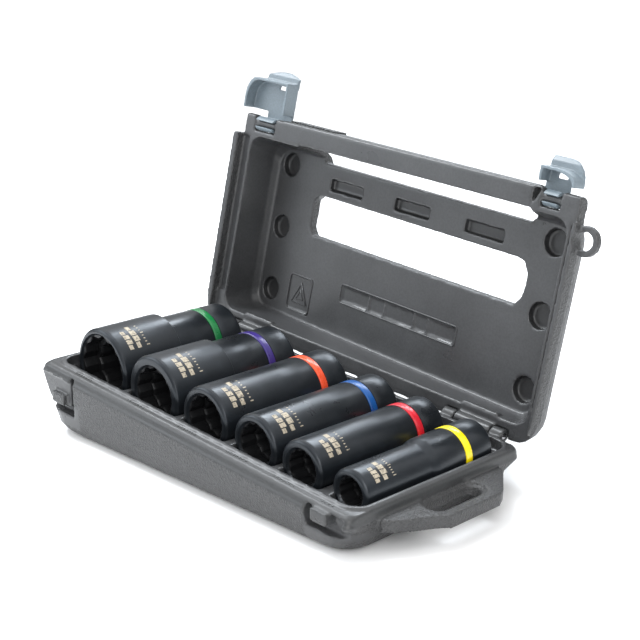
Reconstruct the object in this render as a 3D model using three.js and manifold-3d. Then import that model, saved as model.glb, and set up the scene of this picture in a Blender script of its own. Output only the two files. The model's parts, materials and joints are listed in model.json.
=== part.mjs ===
// Six-piece two-size impact socket set in a blow-moulded case, lid open on its stop.
// Millimetres. Case frame: X to the handle end, Y to the hinge, Z up from the base's rim plane.
// The base's underside slopes to the rim plane, so the whole case frame is turned by its slope.

import * as THREE from 'three';
import { mergeVertices } from 'three/addons/utils/BufferGeometryUtils.js';
import Module from 'manifold-3d';

const wasm = await Module();
wasm.setup();

// ---------- Driving dimensions ----------

// Sockets. Each lies along Y with its mouth towards the front.
const SOCKET_AXIS_Z = -1.4;
const SOCKET_LENGTH = 85.7;
const SOCKET_FIT = 0.5;         // clearance round a socket in its trough
const NOSE_LENGTH = 41;         // mouth to the shoulder between the nose and the drive end
const FIRST_MARGIN = 2.6;       // left ridge to the first socket
const LAST_MARGIN = 3;          // last socket to the right ridge
const SOCKETS = [               // bores across their flats; wall from the bore's corners to the outside
  { name: 'green', large: 31.75, small: 23.81, wall: 4.07, drive: 19.4, gap: FIRST_MARGIN },
  { name: 'purple', large: 25.4, small: 20.64, wall: 6.14, drive: 18.7, gap: 2.8 },
  { name: 'orange', large: 22.22, small: 17.46, wall: 4.67, drive: 17.5, gap: 3.7 },
  { name: 'blue', large: 19.05, small: 14.29, wall: 4.6, drive: 15.6, gap: 4.9 },
  { name: 'red', large: 15.88, small: 11.11, wall: 4.93, drive: 14.1, gap: 3.3 },
  { name: 'yellow', large: 12.7, small: 9.52, wall: 4.27, drive: 13, gap: 4.9 },
];
const SOCKET_WALL = 3.2;        // least wall between the spring bore and the band groove
const LARGE_DEPTH = 38;         // length of the large twelve-point bore
const SPRING_BORE_END = 60;
const WEB_BORE = 4.5;           // radius of the passage between the bore and the drive square
const DRIVE_SQUARE = 12.7;
const DRIVE_DEPTH = 21;
const MOUTH_CHAMFER = 1.6;
const BAND = { fromEnd: 19.7, width: 4.4, depth: 1.2, proud: 0.15, gap: 0.3 };
const SLEEVE = { face: 9, collar: 8, neck: 10.5, flange: 2.5, travel: 8, fit: 0.25 };
const RING = { thick: 1.2, gap: 0.3, grip: 0.9, opening: 0.3, neckGap: 0.25 };
const SPRING = { wire: 0.6, turns: 4, gap: 0.35 };
const NECK_WALL = 0.5;          // sleeve's neck, outside its bore's corners

// Base
const RIM_LEFT = -116;          // seal ridge of the base, seen from above
const RIM_DEPTH = 110;          // front ridge is at Y 0
const RIM_CORNER = 10;          // plan radius of the ridge's corners
const RIDGE_WIDTH = 2.2;
const RIDGE_HEIGHT = 1.2;
placeSockets();
const lastSocket = SOCKETS[SOCKETS.length - 1];
const RIM_RIGHT = lastSocket.x + Math.max(lastSocket.nose, lastSocket.drive) + LAST_MARGIN;
const MOUTH_Y = (RIM_DEPTH - SOCKET_LENGTH) / 2;

const BASE_MID_DEPTH = 31.6;    // rim plane to underside, at X 0
const BASE_SLOPE = 0.0752;      // the base gets shallower towards the handle
const BASE_EDGE_HEIGHT = 11;    // height of the rounded bottom edge
const FOOT_CORNER = 14;         // plan radius of the outer wall's corners at the bottom
const SHELF_CORNER = 4;         // and at the top, where they are sharper
const BASE_SIDES = {            // how far the outer wall stands out from the ridge line
  shelf: { left: 5.5, right: 2.4, front: 6.4, rear: 2.3 },
  pad: { left: 6.2, right: 2.9, front: 7.6, rear: 2.5 },
  waist: { left: 0.5, right: 1.6, front: 6.2, rear: 1.8 },
  foot: { left: -17, right: -6, front: -2.5, rear: -5 },
};
const SHELF_DROP = 5.6;         // rim plane to the top of the textured pad
const TRAY_DEPTH = 6;           // rim plane to the top of the ribs between the sockets

const HANDLE = {
  top: -6, bottom: -12.6, reach: 22, from: 12, to: RIM_DEPTH - 15,
  flatFrom: RIM_DEPTH / 2 - 18, flatTo: RIM_DEPTH / 2 + 21,
};
const HANDLE_SLOT = {
  near: 4.6, far: 14.6, from: HANDLE.flatFrom + 1, to: HANDLE.flatTo - 4, recess: 1.6, border: 2.2,
};

// Hinge, along X behind the rear ridge
const PIN_RADIUS = 1.6;
const HINGE = {
  y: RIM_DEPTH + 5.5, z: -1, bore: PIN_RADIUS + 0.08, fixedBore: PIN_RADIUS + 0.05,
  barrel: PIN_RADIUS + 1.8, clearance: 0.5,
};
const HINGE_STATIONS = [RIM_LEFT + 32, RIM_RIGHT - 30];
const KNUCKLE = { outer: 8, inner: 23, gap: 0.4 };

// Lid
const LID_ANGLE = 100.9;        // degrees from closed to open
const LID_GAP = 0.4;            // between the two rims when closed
const LID_DROP = LID_GAP - HINGE.z;         // hinge axis to the lid's rim plane
const RIM_SIDE = HINGE.y - RIM_DEPTH;       // hinge axis to the rear ridge
const LID = { left: RIM_LEFT - 11, right: RIM_RIGHT + 6, bottom: -1.5, top: RIM_DEPTH + 4, corner: 12 };
const LID_PANEL = {
  left: RIM_LEFT + 5, right: RIM_RIGHT - 5, bottom: 10, top: RIM_DEPTH - 3, depth: 18, wall: 6.2, slope: 0.05,
};
const LID_MOUTH = { left: RIM_LEFT + 1, right: RIM_RIGHT - 1, bottom: 7.5, top: RIM_DEPTH + 2, corner: 8 };
const LID_BACK_INSET = { left: 16, right: 18, bottom: 8, top: 8 };
const FLANGE = { height: 4, leftIn: RIM_LEFT - 6.8, rightIn: RIM_RIGHT + 3.4, from: 5, to: RIM_DEPTH + 2 };
const GROOVE = { depth: 1.6, ridge: 1.8 };   // beside the mouth, between its ridge and the flange
const WINDOW = {
  left: RIM_LEFT + 40, right: RIM_RIGHT - 28, bottom: RIM_DEPTH - 48.5, top: RIM_DEPTH - 24.5, cut: 7,
};
const GRIP_GAP = { left: RIM_LEFT + 41, right: RIM_RIGHT - 28, bottom: RIM_DEPTH - 5.5, slant: 9 };
const BAR = { bottom: RIM_DEPTH + 3, top: RIM_DEPTH + 14.4, depth: 12 };
const COLUMN = { depth: 7.2, left: RIM_LEFT - 6, right: RIM_RIGHT + 3 };
const DIMPLE = {
  radius: 7, depth: 4.6, xs: [RIM_LEFT + 15, RIM_RIGHT - 15], ys: [22, RIM_DEPTH / 2 + 5.5, RIM_DEPTH - 12],
};
const SLOTS = { xs: [-51, 2, 55], y: RIM_DEPTH - 16.7, width: 27, height: 6.6, depth: 4 };
const DATE_STRIP = {
  left: -39.6, right: 49.6, bottom: 30.3, top: 39.5, depth: 1, rib: 1, ribs: [-17, -4.2, 18.6, 29.2],
};
const EMBLEM = { left: RIM_LEFT + 31.5, right: RIM_LEFT + 51, bottom: 14.5, top: 35.8, depth: 1 };
const HANG_RING = { x: LID.right + 3.4, y: RIM_DEPTH - 6, outer: 7.6, hole: 4.6, thick: 4 };

// Latches, turning on rods in the lid's front rail
const ROD_RADIUS = 2.2;
const PIVOT = {
  y: RIM_DEPTH + 9.5, z: -2.6, bore: ROD_RADIUS + 0.08, wall: 1.92, mouth: 1.6 * ROD_RADIUS, clearance: 0.4,
};
const HOOK_RADIUS = PIVOT.bore + PIVOT.wall;
const LATCH = { wall: 1.5, plate: -HOOK_RADIUS - 0.8, skirt: 2.6, wing: 7.5, flare: 5.5 };
const LATCHES = [
  {
    name: 'latch_left', outer: RIM_LEFT - 10.5, inner: RIM_LEFT + 24.5, height: 26, bend: [8.2, 11],
    swept: false, hook: [RIM_LEFT + 3.5, RIM_LEFT + 18], slit: [RIM_LEFT + 10, RIM_LEFT + 17],
  },
  {
    name: 'latch_right', outer: RIM_RIGHT - 2.5, inner: RIM_RIGHT - 24, height: 15, bend: [11, 5.6],
    swept: true, hook: [RIM_RIGHT - 18.5, RIM_RIGHT - 9.5], slit: [RIM_RIGHT - 18, RIM_RIGHT - 12],
  },
];
const POCKET_CLEARANCE = 1.5;   // each side of a latch's hook
const RECESS = { face: 5.5, slot: 0.9, margin: 1.2, catchProud: 8.6 };

const ROUND_STEPS = 28;

// A slender nose is longer and widens more gently to the drive end.
function placeSockets() {
  let edge = RIM_LEFT;
  for (const socket of SOCKETS) {
    socket.nose = socket.large / Math.sqrt(3) + socket.wall;
    const slender = socket.nose < socket.drive;
    const radius = Math.max(socket.nose, socket.drive);
    socket.step = NOSE_LENGTH + (slender ? 7 : 0);
    socket.blend = slender ? 5 : 2;
    socket.x = edge + socket.gap + radius;
    edge = socket.x + radius;
  }
}

// ---------- Colours ----------

const caseColor = 0x5c5c5e;
const latchColor = 0x7f8c94;
const steelColor = 0x26282b;
const BAND_COLORS = {
  green: 0x007d3c, purple: 0x3c2d8c, orange: 0xfa5a2d, blue: 0x0064b4, red: 0xdc1e32, yellow: 0xffeb00,
};

function material(color, roughness, metalness) {
  return new THREE.MeshStandardMaterial({ color, roughness, metalness });
}

// ---------- Solid helpers ----------

function toSolid(geometry) {
  const bare = geometry.clone();
  bare.deleteAttribute('normal');
  bare.deleteAttribute('uv');
  const merged = mergeVertices(bare, 1e-4);
  const corners = [];
  for (let i = 0; i < merged.index.count; i += 3) {
    const [a, b, c] = [0, 1, 2].map((k) => merged.index.getX(i + k));
    if (a !== b && b !== c && c !== a) corners.push(a, b, c);
  }
  return new wasm.Manifold(new wasm.Mesh({
    numProp: 3,
    vertProperties: new Float32Array(merged.attributes.position.array),
    triVerts: new Uint32Array(corners),
  }));
}

function toGeometry(solid) {
  const mesh = solid.getMesh();
  const geometry = new THREE.BufferGeometry();
  geometry.setAttribute('position', new THREE.BufferAttribute(new Float32Array(mesh.vertProperties), 3));
  geometry.setIndex(new THREE.BufferAttribute(new Uint32Array(mesh.triVerts), 1));
  return geometry;
}

function join(...solids) {
  return solids.reduce((whole, solid) => whole.add(solid));
}

function cut(solid, ...tools) {
  return tools.reduce((rest, tool) => rest.subtract(tool), solid);
}

function box(x0, x1, y0, y1, z0, z1) {
  const geometry = new THREE.BoxGeometry(x1 - x0, y1 - y0, z1 - z0);
  geometry.translate((x0 + x1) / 2, (y0 + y1) / 2, (z0 + z1) / 2);
  return toSolid(geometry);
}

function shapeFrom(points) {
  return new THREE.Shape(points.map(([a, b]) => new THREE.Vector2(a, b)));
}

// Extrudes an outline of (x, y) points from z0 to z1.
function prismZ(points, z0, z1) {
  const geometry = new THREE.ExtrudeGeometry(shapeFrom(points), { depth: z1 - z0, bevelEnabled: false });
  geometry.translate(0, 0, z0);
  return toSolid(geometry);
}

// Extrudes an outline of (y, z) points from x0 to x1.
function prismX(points, x0, x1) {
  const geometry = new THREE.ExtrudeGeometry(shapeFrom(points), { depth: x1 - x0, bevelEnabled: false });
  const turn = new THREE.Matrix4().makeBasis(
    new THREE.Vector3(0, 1, 0), new THREE.Vector3(0, 0, 1), new THREE.Vector3(1, 0, 0));
  geometry.applyMatrix4(turn);
  geometry.translate(x0, 0, 0);
  return toSolid(geometry);
}

// Extrudes an outline of (z, x) points from y0 to y1.
function prismY(points, y0, y1) {
  const geometry = new THREE.ExtrudeGeometry(shapeFrom(points), { depth: y1 - y0, bevelEnabled: false });
  const turn = new THREE.Matrix4().makeBasis(
    new THREE.Vector3(0, 0, 1), new THREE.Vector3(1, 0, 0), new THREE.Vector3(0, 1, 0));
  geometry.applyMatrix4(turn);
  geometry.translate(0, y0, 0);
  return toSolid(geometry);
}

// A regular polygon's points; around = true keeps the circle inside the polygon, as a bore needs.
function circle(cx, cy, radius, steps = 20, around = false) {
  const reach = around ? radius / Math.cos(Math.PI / steps) : radius;
  return Array.from({ length: steps }, (_, i) => {
    const angle = (2 * Math.PI * (i + 0.5)) / steps;
    return [cx + reach * Math.cos(angle), cy + reach * Math.sin(angle)];
  });
}

function roundedRect(x0, x1, y0, y1, radius, steps = 5) {
  const points = [];
  const centres = [[x1 - radius, y1 - radius, 0], [x0 + radius, y1 - radius, 1],
    [x0 + radius, y0 + radius, 2], [x1 - radius, y0 + radius, 3]];
  for (const [cx, cy, quarter] of centres) {
    for (let i = 0; i <= steps; i += 1) {
      const angle = (Math.PI / 2) * (quarter + i / steps);
      points.push([cx + radius * Math.cos(angle), cy + radius * Math.sin(angle)]);
    }
  }
  return points;
}

// Joins rings of equal length into one closed skin with flat fans at both ends.
function loft(rings) {
  const size = rings[0].length;
  const centre = (ring) => ring.reduce((sum, p) => sum.map((s, k) => s + p[k] / size), [0, 0, 0]);
  const vertices = [...rings.flat(), centre(rings[0]), centre(rings[rings.length - 1])];
  const bottom = rings.length * size;
  const index = [];
  for (let r = 0; r + 1 < rings.length; r += 1) {
    for (let i = 0; i < size; i += 1) {
      const j = (i + 1) % size;
      const [a, b, c, d] = [r * size + i, r * size + j, (r + 1) * size + j, (r + 1) * size + i];
      index.push(a, b, c, a, c, d);
    }
  }
  const last = (rings.length - 1) * size;
  for (let i = 0; i < size; i += 1) {
    const j = (i + 1) % size;
    index.push(bottom, j, i, bottom + 1, last + i, last + j);
  }
  const geometry = new THREE.BufferGeometry();
  geometry.setAttribute('position', new THREE.BufferAttribute(new Float32Array(vertices.flat()), 3));
  geometry.setIndex(index);
  return toSolid(geometry);
}

// Turns a (radius, y) profile about the Y axis.
function turned(profile, steps = ROUND_STEPS) {
  const points = profile.map(([radius, y]) => new THREE.Vector2(radius, y));
  return toSolid(new THREE.LatheGeometry(points, steps));
}

function mesh(name, solid, meshMaterial) {
  const piece = new THREE.Mesh(toGeometry(solid), meshMaterial);
  piece.name = name;
  return piece;
}

// ---------- Base ----------

function baseBottom(x) {
  return -BASE_MID_DEPTH + BASE_SLOPE * x;
}

function baseRing(sides, corner, height) {
  const outline = roundedRect(RIM_LEFT - sides.left, RIM_RIGHT + sides.right,
    -sides.front, RIM_DEPTH + sides.rear, corner);
  return outline.map(([x, y]) => [x, y, height(x)]);
}

function mixSides(a, b, share) {
  return Object.fromEntries(Object.keys(a).map((side) => [side, a[side] + (b[side] - a[side]) * share]));
}

function baseShell() {
  const { shelf, pad, waist, foot } = BASE_SIDES;
  const even = (offset) => ({ left: offset, right: offset, front: offset, rear: offset });
  const rings = [];
  const edgeSteps = 4;
  for (let i = 0; i <= edgeSteps; i += 1) {
    const angle = (Math.PI / 2) * (i / edgeSteps);
    const rise = BASE_EDGE_HEIGHT * (1 - Math.cos(angle));
    const sides = mixSides(foot, waist, Math.sin(angle));
    rings.push(baseRing(sides, FOOT_CORNER, (x) => baseBottom(x) + rise));
  }
  rings.push(baseRing(pad, SHELF_CORNER, () => -SHELF_DROP - 1));
  rings.push(baseRing(mixSides(pad, shelf, 0.5), SHELF_CORNER, () => -SHELF_DROP));
  rings.push(baseRing(shelf, SHELF_CORNER, () => -SHELF_DROP + 0.6));
  rings.push(baseRing(mixSides(shelf, even(1), 0.1), SHELF_CORNER, () => -SHELF_DROP / 2));
  rings.push(baseRing(mixSides(shelf, even(1), 0.45), SHELF_CORNER + 2, () => -RIDGE_HEIGHT));
  rings.push(baseRing(even(RIDGE_WIDTH / 2), RIM_CORNER, () => -RIDGE_HEIGHT));
  rings.push(baseRing(even(RIDGE_WIDTH / 4), RIM_CORNER, () => 0));
  return loft(rings);
}

function troughShape(radius) {
  const reach = radius + SOCKET_FIT;
  const steps = 12;
  const open = 6;
  const points = [[open, reach], [open, -reach]];
  for (let i = 0; i <= steps; i += 1) {
    const angle = -Math.PI / 2 + (Math.PI * i) / steps;
    points.push([SOCKET_AXIS_Z - reach * Math.cos(angle), reach * Math.sin(angle)]);
  }
  return points;
}

function socketTrough(socket) {
  const wider = socket.nose < socket.drive ? -socket.blend - 1 : 1;
  const noseEnd = MOUTH_Y + socket.step + wider;
  const end = MOUTH_Y + SOCKET_LENGTH + 1.4;
  const at = ([z, x]) => [z, x + socket.x];
  const nose = prismY(troughShape(socket.nose).map(at), MOUTH_Y - 1.6, noseEnd);
  const drive = prismY(troughShape(socket.drive).map(at), noseEnd - 1, end);
  return nose.add(drive);
}

function handleOutline() {
  const root = RIM_RIGHT - 4;
  const outer = RIM_RIGHT + HANDLE.reach;
  const neck = RIM_RIGHT + BASE_SIDES.shelf.right + 3;
  const soft = 4;
  return [
    [root, HANDLE.from], [neck, HANDLE.from], [neck + soft, HANDLE.from + soft],
    [outer - soft, HANDLE.flatFrom - soft], [outer, HANDLE.flatFrom + soft / 2],
    [outer, HANDLE.flatTo - soft / 2], [outer - soft / 2, HANDLE.flatTo + soft / 2],
    [neck + soft, HANDLE.to - soft], [neck, HANDLE.to], [root, HANDLE.to],
  ];
}

function handlePlate() {
  const plate = prismZ(handleOutline(), HANDLE.bottom, HANDLE.top);
  const { near, far, from, to, recess, border } = HANDLE_SLOT;
  const left = RIM_RIGHT + near;
  const right = RIM_RIGHT + far;
  const radius = (far - near) / 2 - 0.1;
  const hole = prismZ(roundedRect(left, right, from, to, radius, 4), HANDLE.bottom - 1, HANDLE.top + 1);
  const dish = prismZ(roundedRect(left - border, right + border, from - border, to + border,
    radius + border, 4), HANDLE.top - recess, HANDLE.top + 1);
  return { plate, openings: hole.add(dish) };
}

function baseKnuckles() {
  const barrels = HINGE_STATIONS.flatMap((x) => {
    const half = KNUCKLE.inner / 2 + KNUCKLE.gap;
    const ends = [[x - half - KNUCKLE.outer, x - half], [x + half, x + half + KNUCKLE.outer]];
    return ends.map(([from, to]) => {
      const web = prismX([[RIM_DEPTH, HINGE.z - 8], [HINGE.y, HINGE.z - HINGE.barrel],
        [HINGE.y, HINGE.z], [RIM_DEPTH, HINGE.z]], from, to);
      return web.add(prismX(circle(HINGE.y, HINGE.z, HINGE.barrel, 16), from, to));
    });
  });
  return join(...barrels);
}

function knuckleSpace(from, to) {
  return prismX(circle(HINGE.y, HINGE.z, HINGE.barrel + HINGE.clearance, 16, true), from, to);
}

function latchRecess(latch) {
  const side = Math.sign(latch.outer);
  const far = latch.outer + side * RECESS.margin;
  const within = latch.outer > RIM_LEFT && latch.outer < RIM_RIGHT;
  const outerSlot = latch.outer - side * (within ? latch.bend[0] : LATCH.wall + RECESS.margin);
  const slotFrom = latch.inner - side * RECESS.margin;
  const slotTo = latch.inner + side * (LATCH.wall + RECESS.margin);
  const x = (a, b) => [Math.min(a, b), Math.max(a, b)];
  const closedZ = HINGE.z + LID_DROP - PIVOT.z - latch.height;
  const front = -20;
  const [a0, a1] = x(far, slotFrom);
  const [b0, b1] = x(slotFrom, slotTo);
  const [c0, c1] = x(outerSlot, far);
  const bottom = closedZ - 2.2;
  const slotTop = HINGE.z + LID_DROP - PIVOT.z - LATCH.wing + 1.2;
  const face = box(a0, a1, front, -RECESS.face, bottom, -SHELF_DROP - 0.4);
  const uprights = [[b0, b1], [c0, c1]].map(([from, to]) =>
    box(from, to, front, -RECESS.slot, bottom, slotTop));
  const across = box(a0, a1, front, -RECESS.slot, bottom, closedZ + LATCH.wall + 1);
  return { cutter: join(face, ...uprights, across), bottom, closedZ };
}

function latchCatch(latch, closedZ) {
  const [from, to] = latch.slit;
  const bottom = closedZ + LATCH.wall + 1.4;
  return box(from - 2, to + 2, -RECESS.catchProud, -RECESS.slot - 1, bottom, bottom + 6);
}

function baseCase() {
  const trayCorner = RIM_CORNER - 2;
  const inset = RIDGE_WIDTH / 2 + 0.7;
  const [left, right] = [RIM_LEFT + inset, RIM_RIGHT - inset];
  const trayOutline = roundedRect(left, right, inset, RIM_DEPTH - inset, trayCorner);
  const tray = prismZ(trayOutline, -TRAY_DEPTH, 5);
  const handle = handlePlate();
  const half = KNUCKLE.inner / 2 + KNUCKLE.gap;
  const lidKnuckleSpaces = HINGE_STATIONS.map((x) => knuckleSpace(x - half, x + half));
  const pinBore = prismX(circle(HINGE.y, HINGE.z, HINGE.fixedBore, 16, true), RIM_LEFT, RIM_RIGHT);
  let solid = join(baseShell(), handle.plate, baseKnuckles());
  solid = cut(solid, tray, handle.openings, pinBore, ...SOCKETS.map(socketTrough), ...lidKnuckleSpaces);
  for (const latch of LATCHES) {
    const { cutter, closedZ } = latchRecess(latch);
    solid = solid.subtract(cutter).add(latchCatch(latch, closedZ));
  }
  return solid;
}

// ---------- Lid ----------
// The lid's own frame has Y up from the hinge axis, its rim plane at Z 0 and its outside towards -Z.

function panelDepth(x) {
  return LID_PANEL.depth - LID_PANEL.slope * x;
}

function lidRing(area, corner, height) {
  const outline = roundedRect(area.left, area.right, area.bottom, area.top, corner);
  return outline.map(([x, y]) => [x, y, height(x)]);
}

function insetArea(area, inset, share) {
  return {
    left: area.left + inset.left * share,
    right: area.right - inset.right * share,
    bottom: area.bottom + inset.bottom * share,
    top: area.top - inset.top * share,
  };
}

function lidShell() {
  const rings = [];
  const outerDepth = (x) => panelDepth(x) + LID_PANEL.wall;
  const levels = [[1, 1], [0.72, 0.97], [0.4, 0.86], [0.2, 0.66], [0.08, 0.36], [0, 0]];
  for (const [share, deep] of levels) {
    rings.push(lidRing(insetArea(LID, LID_BACK_INSET, share), LID.corner, (x) => -outerDepth(x) * deep));
  }
  return loft(rings);
}

function lidHollow() {
  const floor = lidRing(LID_PANEL, 10, (x) => -panelDepth(x));
  const knee = lidRing(insetArea(LID_PANEL, { left: -2, right: -2, bottom: -1, top: -2 }, 1), 9,
    (x) => -panelDepth(x) * 0.8);
  const mouth = lidRing(LID_MOUTH, LID_MOUTH.corner, () => 0);
  const above = lidRing(LID_MOUTH, LID_MOUTH.corner, () => 3);
  return loft([floor, knee, mouth, above]);
}

function windowOutline() {
  const { left, right, bottom, top, cut: c } = WINDOW;
  return [[left + c * 0.5, bottom], [right - c * 0.7, bottom], [right - 1, bottom + c * 0.7],
    [right, bottom + c * 1.4], [right, top - c], [right - c * 0.5, top - 1], [right - c * 1.2, top],
    [left + c * 0.6, top], [left, top - c * 0.5], [left, bottom + c * 0.6]];
}

function gripGapOutline() {
  const { left, right, bottom, slant } = GRIP_GAP;
  return [[left + 4, bottom], [right - slant / 2, bottom],
    [right + slant / 2, BAR.bottom], [left, BAR.bottom]];
}

// Outline, in (y, z), of the lid's front rail where a latch swings round it.
function railSection() {
  const { y, z } = PIVOT;
  const swing = HOOK_RADIUS + PIVOT.clearance;
  const steps = 8;
  const start = Math.asin(-z / swing);
  const end = -Math.PI / 2 - 0.25;
  const nose = Array.from({ length: steps + 1 }, (_, i) => {
    const angle = start + ((end - start) * i) / steps;
    return [y + swing * Math.cos(angle), z + swing * Math.sin(angle)];
  });
  return [[GRIP_GAP.bottom, 0], ...nose.map(([a, b]) => [a, Math.min(b, 0)]),
    [GRIP_GAP.bottom, -COLUMN.depth]].reverse();
}

function barSection() {
  const { bottom, top, depth } = BAR;
  return [[bottom, 0], [bottom, -depth], [top - 3, -depth], [top - 0.8, -depth + 1.4],
    [top, -depth + 4], [top, -1.2], [top - 1, 0]];
}

function lidRail() {
  const under = LATCHES.map((latch) => latch.inner);
  const columns = prismX(railSection(), COLUMN.left, under[0] + RECESS.margin)
    .add(prismX(railSection(), under[1] - RECESS.margin, COLUMN.right));
  const bar = prismX(barSection(), under[0] + RECESS.margin, under[1] - RECESS.margin);
  const frontWall = prismX([[GRIP_GAP.bottom, 0], [GRIP_GAP.bottom, -BAR.depth],
    [BAR.bottom + 1, -BAR.depth], [BAR.bottom + 1, 0]], GRIP_GAP.left - 6, GRIP_GAP.right + 8);
  return join(columns, bar, frontWall);
}

function lidFlanges() {
  const { height, leftIn, rightIn, from, to } = FLANGE;
  const left = prismZ([[LID.left, from + 8], [LID.left + 2, from], [leftIn, from], [leftIn, to],
    [LID.left + 1, to], [LID.left, to - 2]].reverse(), -3, height);
  const right = prismZ([[rightIn, from], [LID.right - 2, from], [LID.right, from + 8], [LID.right, to - 2],
    [LID.right - 1, to], [rightIn, to]], -3, height);
  return left.add(right);
}

function lidGrooves() {
  const { depth, ridge } = GROOVE;
  const { from, to, leftIn, rightIn } = FLANGE;
  const [bottom, top] = [from + LID.corner, to - 1];
  return [
    box(leftIn, LID_MOUTH.left - ridge, bottom, top, -depth, FLANGE.height + 1),
    box(LID_MOUTH.right + ridge, rightIn, bottom, top, -depth, FLANGE.height + 1),
  ];
}

function hangRing() {
  const { x, y, outer, hole, thick } = HANG_RING;
  const disc = prismZ(circle(x, y, outer, 20), -thick, 0);
  const tail = box(COLUMN.right, x, y - outer * 0.8, y + outer * 0.8, -thick, 0);
  return { eye: disc.add(tail), hole: prismZ(circle(x, y, hole, 16, true), -12, 6) };
}

function lidPanelDetails() {
  const floorBox = (x0, x1, y0, y1, depth) => {
    const mid = panelDepth((x0 + x1) / 2);
    return box(x0, x1, y0, y1, -mid - depth, -mid + 4);
  };
  const dimples = DIMPLE.xs.flatMap((x) => DIMPLE.ys.map((y) => {
    const floor = -panelDepth(x);
    return prismZ(circle(x, y, DIMPLE.radius, 14), floor - DIMPLE.depth, floor + 2);
  }));
  const slots = SLOTS.xs.map((x) => floorBox(x - SLOTS.width / 2, x + SLOTS.width / 2,
    SLOTS.y - SLOTS.height / 2, SLOTS.y + SLOTS.height / 2, SLOTS.depth));
  const { left, right, bottom, top, depth, ribs } = DATE_STRIP;
  const edges = [left, ...ribs, right];
  const cells = edges.slice(1).map((edge, i) =>
    floorBox(edges[i] + DATE_STRIP.rib / 2, edge - DATE_STRIP.rib / 2, bottom, top, depth));
  const emblem = floorBox(EMBLEM.left, EMBLEM.right, EMBLEM.bottom, EMBLEM.top, EMBLEM.depth);
  return [...dimples, ...slots, ...cells, emblem];
}

function lidKnuckles() {
  return join(...HINGE_STATIONS.map((x) => {
    const [from, to] = [x - KNUCKLE.inner / 2, x + KNUCKLE.inner / 2];
    const web = prismX([[RIM_SIDE - 2, 0], [9, -0.5], [9, -4], [0, LID_DROP - HINGE.barrel - 2],
      [0, LID_DROP + 1]].reverse(), from, to);
    return web.add(prismX(circle(0, LID_DROP, HINGE.barrel, 16), from, to));
  }));
}

function baseKnuckleSpaces() {
  return HINGE_STATIONS.flatMap((x) => {
    const half = KNUCKLE.inner / 2;
    const reach = half + 2 * KNUCKLE.gap + KNUCKLE.outer;
    const section = circle(0, LID_DROP, HINGE.barrel + HINGE.clearance, 16, true);
    return [prismX(section, x - reach, x - half), prismX(section, x + half, x + reach)];
  });
}

function lidCase() {
  const ring = hangRing();
  const windowHole = prismZ(windowOutline(), -60, 10);
  const gripGap = prismZ(gripGapOutline(), -60, 10);
  const spans = LATCHES.map(({ hook }) => [hook[0] - POCKET_CLEARANCE, hook[1] + POCKET_CLEARANCE]);
  const floor = PIVOT.y - HOOK_RADIUS - PIVOT.clearance;
  const pockets = spans.map(([from, to]) => box(from, to, floor, PIVOT.y + 20, -60, 10));
  const rods = spans.map(([from, to]) => prismX(circle(PIVOT.y, PIVOT.z, ROD_RADIUS, 14), from - 1, to + 1));
  const pinBore = prismX(circle(0, LID_DROP, HINGE.bore, 16, true), RIM_LEFT, RIM_RIGHT);
  const shell = join(lidShell(), lidRail(), lidFlanges(), ring.eye);
  const opened = cut(shell, lidHollow(), windowHole, gripGap, ring.hole, ...pockets,
    ...lidGrooves(), ...lidPanelDetails(), ...baseKnuckleSpaces());
  return cut(join(opened, lidKnuckles(), ...rods), pinBore);
}

// ---------- Latches, in the lid's frame with the origin on the pivot ----------

function latchOutline(latch, inset) {
  const side = Math.sign(latch.outer);
  const outer = latch.outer - side * inset;
  const inner = latch.inner + side * inset;
  const top = latch.height - inset;
  const bottom = inset > 0 ? -10 : LATCH.wing;
  const [bendX, bendY] = latch.bend;
  const shoulder = outer - side * bendX;
  const points = [[inner, bottom], [inner, top]];
  const steps = 5;
  for (let i = 0; i <= steps; i += 1) {
    const angle = (Math.PI / 2) * (1 - i / steps);
    points.push([shoulder + side * bendX * Math.cos(angle), top - bendY * (1 - Math.sin(angle))]);
  }
  points.push([outer, bottom]);
  return points;
}

// The finger tab's outline, arched along its free edge; a swept tab follows the latch's own outline.
function tabOutline(x0, x1, top) {
  const steps = 8;
  const arch = Array.from({ length: steps + 1 }, (_, i) => {
    const share = 1 - i / steps;
    const rise = LATCH.flare * (0.25 + 0.75 * Math.sin(Math.PI * (0.12 + 0.76 * share)));
    return [x0 + (x1 - x0) * share, top + rise];
  });
  return [[x0, top - 3], [x1, top - 3], ...arch];
}

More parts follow.
